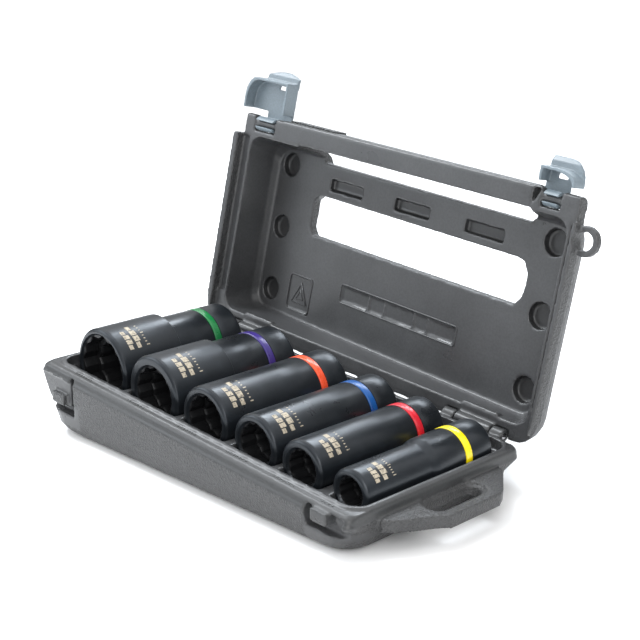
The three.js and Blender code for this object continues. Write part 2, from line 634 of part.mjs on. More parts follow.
function latchSolid(latch) {
  const side = Math.sign(latch.outer);
  const back = LATCH.plate - LATCH.wall;
  const top = latch.height;
  const [h0, h1] = latch.hook;
  const body = prismZ(latchOutline(latch, 0), back, LATCH.skirt);
  const hollow = prismZ(latchOutline(latch, LATCH.wall), LATCH.plate, LATCH.skirt + 1);
  const neck = box(h0, h1, -HOOK_RADIUS * 0.9, LATCH.wing + 1, back, LATCH.plate);
  const web = box(h0, h1, -1.8, 3.4, LATCH.plate - 0.5, -2.8);
  const hook = prismX(circle(0, 0, HOOK_RADIUS, 16), h0, h1);
  const hookEnd = side < 0 ? h1 : h0;
  const [w0, w1] = [hookEnd, latch.inner].sort((a, b) => a - b);
  const lowWing = box(w0 - 0.5, w1 + 0.5 * (w1 === hookEnd), -1, LATCH.wing + 1, back, LATCH.plate - 0.2);
  const [bendX, bendY] = latch.bend;
  const tabEnd = latch.swept ? latch.outer : latch.outer - side * (bendX + 0.8);
  const [f0, f1] = [tabEnd, latch.inner].sort((a, b) => a - b);
  const curl = prismX([[top - bendY, back], [top - bendY, LATCH.plate], [top, LATCH.plate],
    [top + LATCH.flare * 0.55, LATCH.plate - 0.7], [top + LATCH.flare, LATCH.plate - 2.4],
    [top + LATCH.flare, LATCH.plate - 4], [top + LATCH.flare * 0.45, back - 0.7]], f0, f1);
  const taller = { ...latch, height: top + LATCH.flare, bend: [bendX, bendY + LATCH.flare] };
  const tabEdge = latch.swept ? latchOutline(taller, 0) : tabOutline(f0, f1, top);
  const flare = curl.intersect(prismZ(tabEdge, back - 8, LATCH.plate + 1));
  const bore = prismX(circle(0, 0, PIVOT.bore, 16, true), h0 - 1, h1 + 1);
  const mouth = box(h0 - 1, h1 + 1, -PIVOT.mouth / 2, PIVOT.mouth / 2, 0, 8);
  const slit = box(latch.slit[0], latch.slit[1], top - 5, top - 2.6, back - 4, LATCH.plate + 2);
  const shell = body.subtract(hollow);
  return cut(join(shell, flare, neck, lowWing, web, hook), bore, mouth, slit);
}

// ---------- Sockets, turned about +Y from the mouth ----------

function twelvePoint(acrossFlats, clearance = 0) {
  const corner = acrossFlats / Math.sqrt(3) + clearance;
  const valley = acrossFlats / 2 / Math.cos(Math.PI / 12) + clearance;
  return Array.from({ length: 24 }, (_, i) => {
    const angle = (Math.PI / 12) * i;
    const reach = i % 2 ? valley : corner;
    return [reach * Math.cos(angle), reach * Math.sin(angle)];
  });
}

function socketOuter({ nose, drive, step, blend }) {
  const end = bandFrom() + BAND.width + BAND.gap;
  const start = bandFrom() - BAND.gap;
  return [[0, 0], [nose - 1.8, 0], [nose, 1.6], [nose, step - blend], [drive, step],
    [drive, start], [drive - BAND.depth, start], [drive - BAND.depth, end], [drive, end],
    [drive, SOCKET_LENGTH - 1.4], [drive - 1.4, SOCKET_LENGTH], [0, SOCKET_LENGTH]];
}

function springBore({ large, drive }) {
  return Math.min(large / Math.sqrt(3), drive - BAND.depth - SOCKET_WALL);
}

function bandFrom() {
  return SOCKET_LENGTH - BAND.fromEnd;
}

function ringPlace() {
  return SLEEVE.face + SLEEVE.collar + SLEEVE.travel + RING.gap;
}

function socketBody(socket) {
  const corner = socket.large / Math.sqrt(3);
  const square = DRIVE_SQUARE / 2;
  const mouthCone = [[0, -1], [corner + MOUTH_CHAMFER, -1], [corner + 0.2, 1.2], [0, 1.2]];
  const at = ringPlace();
  const groove = [[0, at - RING.gap], [corner + RING.grip, at - RING.gap],
    [corner + RING.grip, at + RING.thick + RING.gap], [0, at + RING.thick + RING.gap]];
  const squarePoints = [[-square, -square], [square, -square], [square, square], [-square, square]];
  return cut(turned(socketOuter(socket)),
    prismY(twelvePoint(socket.large), -1, LARGE_DEPTH),
    turned(mouthCone, 24),
    turned(groove, 24),
    prismY(circle(0, 0, springBore(socket), 24), LARGE_DEPTH - 1, SPRING_BORE_END),
    prismY(circle(0, 0, WEB_BORE, 12), SPRING_BORE_END - 1, SOCKET_LENGTH - DRIVE_DEPTH + 1),
    prismY(squarePoints, SOCKET_LENGTH - DRIVE_DEPTH, SOCKET_LENGTH + 1));
}

function colourBand({ drive }) {
  const inner = drive - BAND.depth + BAND.gap;
  const outer = drive + BAND.proud;
  const from = bandFrom();
  const to = from + BAND.width;
  return turned([[inner, from], [outer, from], [outer, to], [inner, to], [inner, from]]);
}

function sleeve({ large, small }) {
  const collar = twelvePoint(large, -SLEEVE.fit);
  const neckRadius = small / Math.sqrt(3) + NECK_WALL;
  const collarEnd = SLEEVE.face + SLEEVE.collar;
  const flangeAt = collarEnd + SLEEVE.neck;
  const end = flangeAt + SLEEVE.flange;
  const whole = join(prismY(collar, SLEEVE.face, collarEnd),
    prismY(circle(0, 0, neckRadius, 18, true), collarEnd - 1, flangeAt + 1),
    prismY(collar, flangeAt, end));
  return whole.subtract(prismY(twelvePoint(small), SLEEVE.face - 1, end + 1));
}

function retainingRing({ large, small }) {
  const inner = small / Math.sqrt(3) + NECK_WALL + RING.neckGap;
  const outer = large / Math.sqrt(3) + RING.grip - RING.gap;
  const steps = 16;
  const arc = (radius) => Array.from({ length: steps + 1 }, (_, i) => {
    const angle = RING.opening + ((2 * Math.PI - 2 * RING.opening) * i) / steps;
    return [radius * Math.cos(angle), radius * Math.sin(angle)];
  });
  const around = inner / Math.cos(Math.PI / steps);
  const at = ringPlace();
  return prismY([...arc(outer), ...arc(around).reverse()], at, at + RING.thick);
}

function returnSpring(socket) {
  const narrowest = Math.min(springBore(socket), socket.large / 2);
  const radius = narrowest - SPRING.wire * Math.SQRT2 - SPRING.gap;
  const from = SLEEVE.face + SLEEVE.collar + SLEEVE.neck + SLEEVE.flange + SPRING.wire + SPRING.gap;
  const to = SPRING_BORE_END - SPRING.wire - SPRING.gap;
  const points = [];
  const steps = SPRING.turns * 7;
  for (let i = 0; i <= steps; i += 1) {
    const angle = (2 * Math.PI * SPRING.turns * i) / steps;
    points.push(new THREE.Vector3(radius * Math.cos(angle), from + ((to - from) * i) / steps,
      radius * Math.sin(angle)));
  }
  const path = new THREE.CatmullRomCurve3(points);
  const wire = SPRING.wire;
  const section = shapeFrom([[-wire, -wire], [wire, -wire], [wire, wire], [-wire, wire]]);
  return toSolid(new THREE.ExtrudeGeometry(section, { steps, extrudePath: path, bevelEnabled: false }));
}

function socketGroup(socket) {
  const group = new THREE.Group();
  const black = material(steelColor, 0.45, 0.6);
  group.position.set(socket.x, MOUTH_Y, SOCKET_AXIS_Z);
  const label = `socket_${socket.name}`;
  group.add(
    mesh(`${label}_body`, socketBody(socket), black),
    mesh(`${label}_band`, colourBand(socket), material(BAND_COLORS[socket.name], 0.4, 0)),
    mesh(`${label}_sleeve`, sleeve(socket), material(0x303236, 0.4, 0.7)),
    mesh(`${label}_ring`, retainingRing(socket), material(0x8a8d90, 0.35, 0.9)),
    mesh(`${label}_spring`, returnSpring(socket), material(0x9a9da0, 0.35, 0.9)),
  );
  return group;
}

// ---------- Assembly ----------

function hingePin(name, x) {
  const half = KNUCKLE.inner / 2 + KNUCKLE.gap + KNUCKLE.outer - 0.5;
  const pin = mesh(name, prismX(circle(0, 0, PIN_RADIUS, 14), -half, half), material(0xb5b8ba, 0.3, 0.9));
  pin.position.set(x, HINGE.y, HINGE.z);
  return pin;
}

function lidGroup() {
  const group = new THREE.Group();
  const turn = new THREE.Matrix4().makeRotationX(THREE.MathUtils.degToRad(180 - LID_ANGLE));
  const rimOffset = new THREE.Vector3(0, 0, -LID_DROP).applyMatrix4(turn);
  group.rotation.setFromRotationMatrix(turn);
  group.position.set(0, HINGE.y, HINGE.z).add(rimOffset);
  group.add(mesh('lid_case', lidCase(), material(caseColor, 0.6, 0)));
  for (const latch of LATCHES) {
    const piece = mesh(latch.name, latchSolid(latch), material(latchColor, 0.45, 0));
    piece.position.set(0, PIVOT.y, PIVOT.z);
    group.add(piece);
  }
  return group;
}

function socketSet() {
  const frame = new THREE.Group();
  frame.add(mesh('base_case', baseCase(), material(caseColor, 0.6, 0)));
  frame.add(hingePin('hinge_pin_left', HINGE_STATIONS[0]), hingePin('hinge_pin_right', HINGE_STATIONS[1]));
  frame.add(lidGroup());
  for (const socket of SOCKETS) frame.add(socketGroup(socket));

  const tilt = Math.atan(BASE_SLOPE);
  const foot = new THREE.Vector3(0, RIM_DEPTH / 2, -BASE_MID_DEPTH);
  frame.rotation.y = tilt;
  frame.position.copy(foot.applyAxisAngle(new THREE.Vector3(0, 1, 0), tilt).negate());
  const whole = new THREE.Group();
  whole.add(frame);
  return whole;
}

const group = socketSet();

export default group;
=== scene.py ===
"""Six-piece two-size impact socket set in its moulded case, lid open."""
import json
import math

import bmesh
import bpy
from mathutils import Matrix, Vector


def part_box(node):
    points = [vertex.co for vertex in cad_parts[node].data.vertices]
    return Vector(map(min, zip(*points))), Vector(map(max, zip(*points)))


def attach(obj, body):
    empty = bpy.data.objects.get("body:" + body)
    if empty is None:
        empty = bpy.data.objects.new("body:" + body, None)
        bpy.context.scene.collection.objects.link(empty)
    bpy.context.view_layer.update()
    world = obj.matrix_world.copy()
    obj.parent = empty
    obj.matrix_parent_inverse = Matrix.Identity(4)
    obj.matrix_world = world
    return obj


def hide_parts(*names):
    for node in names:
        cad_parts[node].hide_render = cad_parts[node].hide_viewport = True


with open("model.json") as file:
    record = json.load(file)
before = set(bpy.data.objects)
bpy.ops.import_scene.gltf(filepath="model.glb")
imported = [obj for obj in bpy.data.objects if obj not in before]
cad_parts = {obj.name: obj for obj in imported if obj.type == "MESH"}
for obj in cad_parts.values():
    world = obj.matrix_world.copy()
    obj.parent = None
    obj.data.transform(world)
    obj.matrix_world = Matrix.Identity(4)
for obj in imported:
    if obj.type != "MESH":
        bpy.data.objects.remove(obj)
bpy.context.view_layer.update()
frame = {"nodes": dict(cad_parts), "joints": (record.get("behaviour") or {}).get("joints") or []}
nodes = frame["nodes"]
joints = {j["name"]: j for j in frame["joints"]}
MM = 0.001

# ---------- Frames: the case is tilted by its sloped underside, the lid stands open on its hinge ----------

hinge_axis = Vector(joints["lid_hinge"]["axis"]).normalized()
hinge_at = Vector(joints["lid_hinge"]["pos_m"])
lid_angle = math.radians(-joints["lid_hinge"]["range_deg"][0])
case_x = -hinge_axis
case_y = Vector((0, 1, 0))
case_z = case_x.cross(case_y).normalized()
case_turn = Matrix((case_x, case_y, case_z)).transposed()
HINGE_X, HINGE_Y, HINGE_Z, LID_DROP = -84 * MM, 115.5 * MM, -1 * MM, 1.4 * MM
pin_low, pin_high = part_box("hinge_pin_left")
hinge_mid = (pin_low + pin_high) / 2
case_origin = hinge_mid - case_turn @ Vector((HINGE_X, HINGE_Y, HINGE_Z))
CASE = Matrix.Translation(case_origin) @ case_turn.to_4x4()
LID = (CASE @ Matrix.Translation((0, HINGE_Y, HINGE_Z)) @ Matrix.Rotation(math.pi - lid_angle, 4, "X")
       @ Matrix.Translation((0, 0, -LID_DROP)))
PANEL_DEPTH, PANEL_SLOPE = 18.0, 0.05   # the lid's inner panel, in millimetres and along X

# ---------- Materials ----------


def new_material(name, color, roughness, metallic=0.0):
    mat = bpy.data.materials.new(name)
    mat.use_nodes = True
    shader = mat.node_tree.nodes["Principled BSDF"]
    shader.inputs["Base Color"].default_value = (*color, 1)
    shader.inputs["Roughness"].default_value = roughness
    shader.inputs["Metallic"].default_value = metallic
    return mat, mat.node_tree, shader


def object_coords(tree, scale=(1, 1, 1)):
    coords = tree.nodes.new("ShaderNodeTexCoord")
    mapping = tree.nodes.new("ShaderNodeMapping")
    mapping.inputs["Scale"].default_value = scale
    tree.links.new(coords.outputs["Object"], mapping.inputs["Vector"])
    return mapping.outputs["Vector"]


def noise(tree, vector, scale, detail=3.0, roughness=0.55):
    node = tree.nodes.new("ShaderNodeTexNoise")
    node.inputs["Scale"].default_value = scale
    node.inputs["Detail"].default_value = detail
    node.inputs["Roughness"].default_value = roughness
    tree.links.new(vector, node.inputs["Vector"])
    return node.outputs["Fac"]


def ramp(tree, fac, stops):
    node = tree.nodes.new("ShaderNodeValToRGB")
    elements = node.color_ramp.elements
    while len(elements) < len(stops):
        elements.new(0.5)
    for element, (position, color) in zip(elements, stops):
        element.position = position
        element.color = (*color, 1)
    tree.links.new(fac, node.inputs["Fac"])
    return node.outputs["Color"]


def spread(tree, fac, low, high):
    node = tree.nodes.new("ShaderNodeMapRange")
    node.inputs["From Min"].default_value = 0.3
    node.inputs["From Max"].default_value = 0.7
    node.inputs["To Min"].default_value = low
    node.inputs["To Max"].default_value = high
    tree.links.new(fac, node.inputs["Value"])
    return node.outputs["Result"]


def bump(tree, height, strength, distance, before=None):
    node = tree.nodes.new("ShaderNodeBump")
    node.inputs["Strength"].default_value = strength
    node.inputs["Distance"].default_value = distance
    tree.links.new(height, node.inputs["Height"])
    if before is not None:
        tree.links.new(before, node.inputs["Normal"])
    return node.outputs["Normal"]


def shade(color, factor):
    return tuple(c * factor for c in color)


def plastic(name, color, roughness, grain=None, speckle=900.0, fine=0.05):
    """Moulded polyethylene: mottled colour, fine orange-peel skin, and pebble grain where grain is given."""
    mat, tree, shader = new_material(name, color, roughness)
    vector = object_coords(tree)
    blotches = noise(tree, vector, 26.0, 4.0)
    tone = ramp(tree, blotches, [(0.3, shade(color, 0.86)), (0.5, color), (0.72, shade(color, 1.16))])
    specks = noise(tree, vector, speckle, 2.0)
    mix = tree.nodes.new("ShaderNodeMix")
    mix.data_type = "RGBA"
    mix.blend_type = "MULTIPLY"
    mix.inputs["Factor"].default_value = 0.5 if grain else 0.22
    tree.links.new(tone, mix.inputs["A"])
    speckled = ramp(tree, specks, [(0.36, (0.5, 0.5, 0.5)), (0.62, (1.35, 1.35, 1.35))])
    tree.links.new(speckled, mix.inputs["B"])
    tree.links.new(mix.outputs["Result"], shader.inputs["Base Color"])
    tree.links.new(spread(tree, blotches, roughness - 0.06, roughness + 0.08), shader.inputs["Roughness"])
    normal = bump(tree, noise(tree, vector, 420.0, 3.0), fine, 0.0004)
    if grain:
        cells = tree.nodes.new("ShaderNodeTexVoronoi")
        cells.feature = "SMOOTH_F1"
        cells.inputs["Scale"].default_value = grain
        cells.inputs["Smoothness"].default_value = 0.45
        tree.links.new(vector, cells.inputs["Vector"])
        pebble = ramp(tree, cells.outputs["Distance"], [(0.05, (1, 1, 1)), (0.6, (0, 0, 0))])
        normal = bump(tree, pebble, 0.85, 0.0004, normal)
    tree.links.new(normal, shader.inputs["Normal"])
    shader.inputs["Specular IOR Level"].default_value = 0.5
    return mat


def black_oxide(name, color, roughness):
    """Oiled black oxide over turned steel: faint lathe rings, smears of oil and dull handling marks."""
    mat, tree, shader = new_material(name, color, roughness, 0.55)
    vector = object_coords(tree)
    rings = noise(tree, object_coords(tree, (40, 1500, 40)), 1.0, 2.0)
    smears = noise(tree, vector, 55.0, 5.0, 0.65)
    tone = ramp(tree, smears, [(0.28, shade(color, 0.8)), (0.5, color), (0.75, shade(color, 1.35))])
    tree.links.new(tone, shader.inputs["Base Color"])
    tree.links.new(spread(tree, smears, roughness - 0.03, roughness + 0.06), shader.inputs["Roughness"])
    normal = bump(tree, rings, 0.09, 0.0002)
    normal = bump(tree, noise(tree, vector, 1400.0, 2.0), 0.06, 0.0001, normal)
    tree.links.new(normal, shader.inputs["Normal"])
    shader.inputs["Specular IOR Level"].default_value = 0.55
    shader.inputs["Coat Weight"].default_value = 0.12
    shader.inputs["Coat Roughness"].default_value = 0.3
    return mat


def enamel(name, color):
    """Glossy colour band with a slight orange peel and rub marks."""
    mat, tree, shader = new_material(name, color, 0.28)
    vector = object_coords(tree)
    marks = noise(tree, vector, 130.0, 4.0, 0.6)
    rubbed = tuple(min(1, c * 1.1 + 0.01) for c in color)
    tone = ramp(tree, marks, [(0.3, shade(color, 0.82)), (0.5, color), (0.78, rubbed)])
    tree.links.new(tone, shader.inputs["Base Color"])
    tree.links.new(spread(tree, marks, 0.22, 0.38), shader.inputs["Roughness"])
    tree.links.new(bump(tree, noise(tree, vector, 500.0), 0.08, 0.0002), shader.inputs["Normal"])
    shader.inputs["Coat Weight"].default_value = 0.3
    shader.inputs["Coat Roughness"].default_value = 0.15
    return mat


def etched(name):
    """Laser marking: pale, matt and slightly broken up."""
    color = (0.4, 0.345, 0.26)
    mat, tree, shader = new_material(name, color, 0.6, 0.1)
    vector = object_coords(tree)
    broken = noise(tree, vector, 900.0, 3.0, 0.7)
    tree.links.new(ramp(tree, broken, [(0.32, (0.1, 0.09, 0.075)), (0.48, color), (0.7, (0.5, 0.44, 0.34))]),
                   shader.inputs["Base Color"])
    return mat


def bright_steel(name):
    color = (0.42, 0.42, 0.43)
    mat, tree, shader = new_material(name, color, 0.32, 1.0)
    vector = object_coords(tree, (900, 60, 900))
    drawn = noise(tree, vector, 1.0, 3.0)
    tone = ramp(tree, drawn, [(0.3, shade(color, 0.7)), (0.7, shade(color, 1.2))])
    tree.links.new(tone, shader.inputs["Base Color"])
    tree.links.new(spread(tree, drawn, 0.24, 0.42), shader.inputs["Roughness"])
    tree.links.new(bump(tree, drawn, 0.08, 0.0001), shader.inputs["Normal"])
    return mat


CASE_SATIN = plastic("case_satin", (0.048, 0.049, 0.051), 0.32)
CASE_GRAIN = plastic("case_grain", (0.045, 0.0455, 0.0465), 0.46, grain=900.0)
CASE_LIP = plastic("case_lip", (0.036, 0.037, 0.038), 0.4, fine=0.09)
# The recess material's darker colour is painted shade for the lid's round and long recesses.
CASE_RECESS_SHADE = plastic("case_recess_painted_shade", (0.026, 0.0265, 0.0275), 0.36)
LATCH_SKIN = plastic("latch_skin", (0.15, 0.185, 0.21), 0.36, speckle=1600.0, fine=0.03)
SOCKET_BLACK = black_oxide("socket_black", (0.018, 0.022, 0.027), 0.29)
BORE_BLACK = black_oxide("bore_black", (0.014, 0.0145, 0.016), 0.44)
STEEL = bright_steel("spring_steel")
ETCHED = etched("etched_marks")
BAND_COLORS = {
    "green": (0.0, 0.17, 0.038), "purple": (0.034, 0.017, 0.17), "orange": (0.9, 0.085, 0.022),
    "blue": (0.0, 0.075, 0.29), "red": (0.62, 0.01, 0.026), "yellow": (0.95, 0.74, 0.0),
}

# ---------- Mesh helpers ----------


def make_object(name, mesh, *materials):
    obj = bpy.data.objects.new(name, mesh)
    bpy.context.scene.collection.objects.link(obj)
    for mat in materials:
        obj.data.materials.append(mat)
    return obj


def smooth_by_angle(mesh, degrees=32.0):
    limit = math.radians(degrees)
    work = bmesh.new()
    work.from_mesh(mesh)
    bmesh.ops.recalc_face_normals(work, faces=work.faces)
    for face in work.faces:
        face.smooth = True
    for edge in work.edges:
        edge.smooth = len(edge.link_faces) == 2 and edge.calc_face_angle(0) < limit
    work.to_mesh(mesh)
    work.free()


def weld(mesh):
    """Joins the points that lie on each other where a loft closes on itself."""
    work = bmesh.new()
    work.from_mesh(mesh)
    bmesh.ops.remove_doubles(work, verts=work.verts, dist=1e-7)
    work.to_mesh(mesh)
    work.free()


def make_steel(node):
    """Gives a CAD node that is kept as it is the bright steel."""
    materials = nodes[node].data.materials
    materials.clear()
    materials.append(STEEL)


def moulded_copy(node, name, voxel, passes, *materials):
    """A soft-edged moulded skin over a CAD node's shape, with its modifiers applied."""
    mesh = nodes[node].data.copy()
    obj = make_object(name, mesh)
    mesh.materials.clear()
    remesh = obj.modifiers.new("skin", "REMESH")
    remesh.mode = "VOXEL"
    remesh.voxel_size = voxel
    soften = obj.modifiers.new("soften", "SMOOTH")
    soften.factor = 0.5
    soften.iterations = passes
    bpy.context.view_layer.update()
    done = bpy.data.meshes.new_from_object(obj.evaluated_get(bpy.context.evaluated_depsgraph_get()))
    obj.modifiers.clear()
    obj.data = done
    done.materials.clear()
    for mat in materials:
        done.materials.append(mat)
    done.polygons.foreach_set("use_smooth", [True] * len(done.polygons))
    return obj


def paint_faces(obj, frame_matrix, choose):
    """Gives each face the material index that choose(place, normal) names, in that frame's millimetres."""
    inverse = frame_matrix.inverted()
    turn = inverse.to_3x3()
    for face in obj.data.polygons:
        face.material_index = choose(inverse @ face.center / MM, turn @ face.normal)


def loft_mesh(name, loops, closed_ends=(False, False)):
    """Quads between loops of equal length; an end may be closed by a fan."""
    count = len(loops[0])
    verts = [p for loop in loops for p in loop]
    faces = []
    for r in range(len(loops) - 1):
        for i in range(count):
            j = (i + 1) % count
            faces.append((r * count + i, r * count + j, (r + 1) * count + j, (r + 1) * count + i))
    for end, closed in enumerate(closed_ends):
        if closed:
            start = 0 if end == 0 else (len(loops) - 1) * count
            ring = loops[0] if end == 0 else loops[-1]
            verts.append(sum((Vector(p) for p in ring), Vector()) / count)
            faces += [(len(verts) - 1, start + i, start + (i + 1) % count) for i in range(count)]
    mesh = bpy.data.meshes.new(name)
    mesh.from_pydata([tuple(v) for v in verts], [], faces)
    mesh.validate()
    return mesh


# ---------- Case ----------

SATIN, GRAIN, LIP, SHADED_RECESS = range(4)   # places of the case's materials on its two shells

RIM = {"left": -116.0, "right": 116.0, "front": 0.0, "rear": 110.0}
LIP_BOTTOM, LIP_OUTSIDE, WALL_OUTSIDE = -6.4, 1.6, 1.4
FACES_DOWN, FACES_UP = -0.3, 0.6
HANDLE = {"left": RIM["right"] + 4.2, "front": 8, "rear": 99}
LATCH_SEAT = {"left_end": -86, "right_end": 90, "front": -6.8, "rear": -0.5, "bottom": -32, "reach": 7}

LID_MOUTH = {"left": -116.4, "right": 116.4, "bottom": 6.5, "top": 112.6}
LID_WINDOW = {"left": -76.6, "right": 88.6, "bottom": 60.9, "top": 86.1}
GRIP_GAP = {"left": -76, "right": 93, "bottom": 104, "top": 113.4}
LID_EDGE = {"left": -122, "right": 119, "top": 112.5, "depth": -3}
PANEL_THICKNESS, WINDOW_CUT, RECESS_CUT = 5.2, 0.7, 0.5
DIMPLE_XS, DIMPLE_YS, DIMPLE_REACH = (-101.0, 101.0), (22.0, 60.5, 98.0), 7.3
SLOT_XS, SLOT_Y, SLOT_REACH = (-51.0, 2.0, 55.0), 93.3, (13.8, 3.6)


def base_zone(place, normal):
    """Material of a face of the base: satin tray, darker lip, grained outside and side handle."""
    x, y, z = place
    outside = max(RIM["left"] - x, x - RIM["right"], RIM["front"] - y, y - RIM["rear"])
    if x > HANDLE["left"] and HANDLE["front"] < y < HANDLE["rear"]:
        return GRAIN
    if z < LIP_BOTTOM and (outside > WALL_OUTSIDE or normal.z < FACES_DOWN):
        at_end = x < LATCH_SEAT["left_end"] or x > LATCH_SEAT["right_end"]
        low_enough = y < LATCH_SEAT["rear"] and z > LATCH_SEAT["bottom"]
        in_seat = at_end and low_enough and outside < LATCH_SEAT["reach"]
        return SATIN if in_seat and y > LATCH_SEAT["front"] else GRAIN
    return LIP if outside > LIP_OUTSIDE else SATIN


def within(x, y, box):
    return box["left"] < x < box["right"] and box["bottom"] < y < box["top"]


def in_recess(x, y):
    """True inside one of the round or long recesses of the lid's inner panel."""
    for cx in DIMPLE_XS:
        if any(math.hypot(x - cx, y - cy) < DIMPLE_REACH for cy in DIMPLE_YS):
            return True
    return abs(y - SLOT_Y) < SLOT_REACH[1] and any(abs(x - cx) < SLOT_REACH[0] for cx in SLOT_XS)


def lid_zone(place, normal):
    """Material of a face of the lid: satin inside with painted shade (a darker material) in the recesses,
    darker edge, grained outside.
    """
    x, y, z = place
    depth = PANEL_DEPTH - PANEL_SLOPE * x
    in_window = within(x, y, LID_WINDOW) and z < -depth - WINDOW_CUT
    in_gap = within(x, y, GRIP_GAP) and z < LID_EDGE["depth"]
    if within(x, y, LID_MOUTH) and z > -depth - PANEL_THICKNESS and not in_window and not in_gap:
        # Faces deep in a recess take the darker material: painted shade.
        return SHADED_RECESS if z < -depth - RECESS_CUT and in_recess(x, y) else SATIN
    if z > -depth and normal.z > FACES_UP:
        return SATIN
    if z > LID_EDGE["depth"] and LID_EDGE["left"] < x < LID_EDGE["right"] and y < LID_EDGE["top"]:
        return LIP
    return GRAIN


base = moulded_copy("base_case", "case_base_shell", 0.00072, 2, CASE_SATIN, CASE_GRAIN, CASE_LIP)
paint_faces(base, CASE, base_zone)
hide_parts("base_case")
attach(base, "base")

lid = moulded_copy("lid_case", "case_lid_shell", 0.0007, 2, CASE_SATIN, CASE_GRAIN, CASE_LIP, CASE_RECESS_SHADE)
paint_faces(lid, LID, lid_zone)
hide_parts("lid_case")
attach(lid, "lid")

for side in ("left", "right"):
    latch = moulded_copy(f"latch_{side}", f"latch_{side}_shell", 0.00038, 2, LATCH_SKIN)
    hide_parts(f"latch_{side}")
    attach(latch, f"latch_{side}")
    make_steel(f"hinge_pin_{side}")


def bevelled_boxes(name, boxes, matrix, bevel, mat):
    """Many small blocks (x0, x1, y0, y1, z0, z1 in millimetres) in one mesh, with soft edges."""
    work = bmesh.new()
    for x0, x1, y0, y1, z0, z1 in boxes:
        place = matrix @ Matrix.Translation(Vector(((x0 + x1) / 2, (y0 + y1) / 2, (z0 + z1) / 2)) * MM)
        size = Matrix.Diagonal((abs(x1 - x0) * MM, abs(y1 - y0) * MM, abs(z1 - z0) * MM, 1))
        bmesh.ops.create_cube(work, size=1.0, matrix=place @ size)
    bmesh.ops.bevel(work, geom=list(work.edges), offset=bevel * MM, segments=2, affect="EDGES", profile=0.6)
    mesh = bpy.data.meshes.new(name)
    work.to_mesh(mesh)
    work.free()
    smooth_by_angle(mesh, 40)
    return make_object(name, mesh, mat)


# Grip serrations along the top of the carrying bar, at the wide latch's end.
TEETH, TOOTH_PITCH, TOOTH_FROM, TOOTH_TO = 18, 2.1, -86, -84.8
teeth = [(TOOTH_FROM + TOOTH_PITCH * i, TOOTH_TO + TOOTH_PITCH * i, 123.6, 125.3, -10.5, -1.8)
         for i in range(TEETH)]
serration = bevelled_boxes("bar_serration", teeth, LID, 0.28, CASE_GRAIN)
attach(serration, "lid")


def panel_ridge(name, outline, width, height):
    """A closed raised line on the lid's inner panel through (x, y) points in millimetres."""
    curve = bpy.data.curves.new(name, "CURVE")
    curve.dimensions = "3D"
    curve.bevel_depth = width / 2 * MM
    curve.bevel_resolution = 2
    spline = curve.splines.new("POLY")
    spline.points.add(len(outline) - 1)
    for point, (x, y) in zip(spline.points, outline):
        z = -(PANEL_DEPTH - PANEL_SLOPE * x) + height
        point.co = (*(LID @ Vector((x * MM, y * MM, z * MM))), 1)
    spline.use_cyclic_u = True
    obj = bpy.data.objects.new(name, curve)
    bpy.context.scene.collection.objects.link(obj)
    bpy.context.view_layer.update()
    mesh = bpy.data.meshes.new_from_object(obj.evaluated_get(bpy.context.evaluated_depsgraph_get()))
    bpy.data.objects.remove(obj)
    smooth_by_angle(mesh, 60)
    piece = make_object(name, mesh, CASE_SATIN)
    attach(piece, "lid")


def rounded_outline(x0, x1, y0, y1, radius, steps=6):
    points = []
    for cx, cy, quarter in ((x1 - radius, y1 - radius, 0), (x0 + radius, y1 - radius, 1),
                            (x0 + radius, y0 + radius, 2), (x1 - radius, y0 + radius, 3)):
        for i in range(steps + 1):
            angle = math.pi / 2 * (quarter + i / steps)
            points.append((cx + radius * math.cos(angle), cy + radius * math.sin(angle)))
    return points


# Raised edges round the small square panel and the write-on strip, and a plain triangle in the square.
panel_ridge("panel_square_edge", rounded_outline(-84.6, -64.9, 14.4, 35.9, 2.6), 0.9, 0.0)
panel_ridge("panel_triangle", [(-81, 19.5), (-68.6, 19.5), (-74.8, 31.5)], 1.2, -0.95)
panel_ridge("panel_triangle_inner", [(-77.6, 21.8), (-72, 21.8), (-74.8, 27.2)], 0.8, -0.95)
panel_ridge("panel_strip_edge", rounded_outline(-40.4, 50.4, 29.5, 40.3, 1.4), 0.8, 0.05)

# ---------- Sockets ----------

SIZES = {  # across flats of the large and the small bore, in millimetres
    "green": (31.75, 23.81), "purple": (25.4, 20.64), "orange": (22.22, 17.46),
    "blue": (19.05, 14.29), "red": (15.88, 11.11), "yellow": (12.7, 9.52),
}
SLEEVE_FACE, SLEEVE_LENGTH, SLEEVE_GAP, SLEEVE_CHAMFER = 9.0, 21.0, 0.25, 0.5
NECK_FROM, NECK_TO, NECK_WALL = 8, 18.5, 0.5
BORE_END, LARGE_BORE_END, DRIVE, DRIVE_DEPTH = 60.0, 38, 12.7, 21
SPRING_WALL, CENTRE_RADIUS = 3.2, 0.8
BAND_FROM, BAND_WIDTH, BAND_DEPTH, BAND_PROUD, BAND_GAP = 66.0, 4.4, 1.2, 0.15, 0.3
NOSES = {"yellow": 11.6}               # radius at the mouth, where the drive end is the wider
STEPS = {"yellow": (48, 5.5)}          # where the drive end begins, and the length of the curve up to it
COMMON_STEP, BLEND_STEPS = (40.6, 1.1), 8
ROUND = 96                             # points in a loop round a socket

# Rounded edges: how far along the axis from the end, and how far inside the full radius
MOUTH_EDGE = [(0.0, 1.9), (0.12, 1.45), (0.5, 0.8), (1.1, 0.25), (1.9, 0.0), (2.6, 0.0)]
DRIVE_EDGE = [(1.9, 0.0), (1.0, 0.3), (0.35, 0.85), (0.0, 1.5)]
GROOVE_EDGE = [(0.35, 0.0), (0.08, 0.12), (0.0, 0.35), (0.0, BAND_DEPTH)]
BAND_EDGE = [(0.0, 0.12), (0.12, -0.05), (0.45, -BAND_PROUD)]

